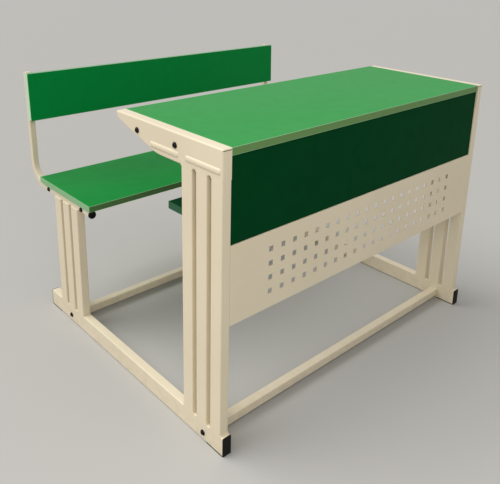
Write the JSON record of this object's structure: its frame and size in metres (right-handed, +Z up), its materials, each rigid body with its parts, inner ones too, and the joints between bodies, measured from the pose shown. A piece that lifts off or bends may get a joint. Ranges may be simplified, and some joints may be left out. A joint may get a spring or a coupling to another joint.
{
  "type": "classroom desk",
  "caption": "Steel-framed school desk with attached bench: laminated writing top, book shelf, front board over a perforated panel, seat and leaning backrest.",
  "frame": {"origin": "on the floor, under the middle of the whole desk and bench", "axes": "+Z up, +X along the desk's width, -Y the desk's front panel, +Y the bench's back"},
  "size_m": [1.059, 0.9824, 0.7688],
  "materials": {
    "frame_paint": "cream powder coat, satin",
    "top_laminate": "mid green laminate on board, satin",
    "seat_laminate": "mid green laminate on board, satin",
    "back_laminate": "mid green laminate on board, satin",
    "dark_laminate": "dark green laminate on board, satin",
    "pale_edging": "pale green plastic edging, matt",
    "dark_edging": "dark green plastic edging, matt",
    "black_plastic": "black moulded plastic, matt",
    "black_bolt": "blackened steel, satin",
    "plain_steel": "zinc plated steel"
  },
  "bodies": {
    "root": {"backrest": "back_laminate", "backrest_bolts": "black_bolt", "backrest_edging": "pale_edging", "backrest_inserts": "plain_steel", "base_bolts": "black_bolt", "base_cross_tube_front": "frame_paint", "base_cross_tube_rear": "frame_paint", "base_rail_left": "frame_paint", "base_rail_right": "frame_paint", "base_threaded_plugs": "plain_steel", "book_shelf": "dark_laminate", "book_shelf_edging": "dark_edging", "desk_arm_left": "frame_paint", "desk_arm_right": "frame_paint", "desk_bolts": "black_bolt", "desk_cross_tube_front": "frame_paint", "desk_cross_tube_rear": "frame_paint", "desk_leg_left_front": "frame_paint", "desk_leg_left_middle": "frame_paint", "desk_leg_left_rear": "frame_paint", "desk_leg_right_front": "frame_paint", "desk_leg_right_middle": "frame_paint", "desk_leg_right_rear": "frame_paint", "desk_threaded_plugs": "plain_steel", "desk_top": "top_laminate", "desk_top_edging": "pale_edging", "desk_top_screws": "plain_steel", "foot_cap_front_left": "black_plastic", "foot_cap_front_right": "black_plastic", "foot_cap_rear_left": "black_plastic", "foot_cap_rear_right": "black_plastic", "modesty_board": "dark_laminate", "modesty_board_edging": "dark_edging", "modesty_cleats": "frame_paint", "modesty_screws": "plain_steel", "perforated_panel": "frame_paint", "post_plate_left": "frame_paint", "post_plate_right": "frame_paint", "seat": "seat_laminate", "seat_back_tube_left": "frame_paint", "seat_back_tube_right": "frame_paint", "seat_bolts": "black_bolt", "seat_cross_tube_front": "frame_paint", "seat_cross_tube_rear": "frame_paint", "seat_edging": "pale_edging", "seat_leg_left_front": "frame_paint", "seat_leg_left_middle": "frame_paint", "seat_leg_left_rear": "frame_paint", "seat_leg_right_front": "frame_paint", "seat_leg_right_middle": "frame_paint", "seat_leg_right_rear": "frame_paint", "seat_screws": "plain_steel", "seat_threaded_plugs": "plain_steel", "seat_tube_cap_left": "black_plastic", "seat_tube_cap_right": "black_plastic", "shelf_bracket_left": "frame_paint", "shelf_bracket_right": "frame_paint", "shelf_screws": "plain_steel"}
  },
  "joints": []
}
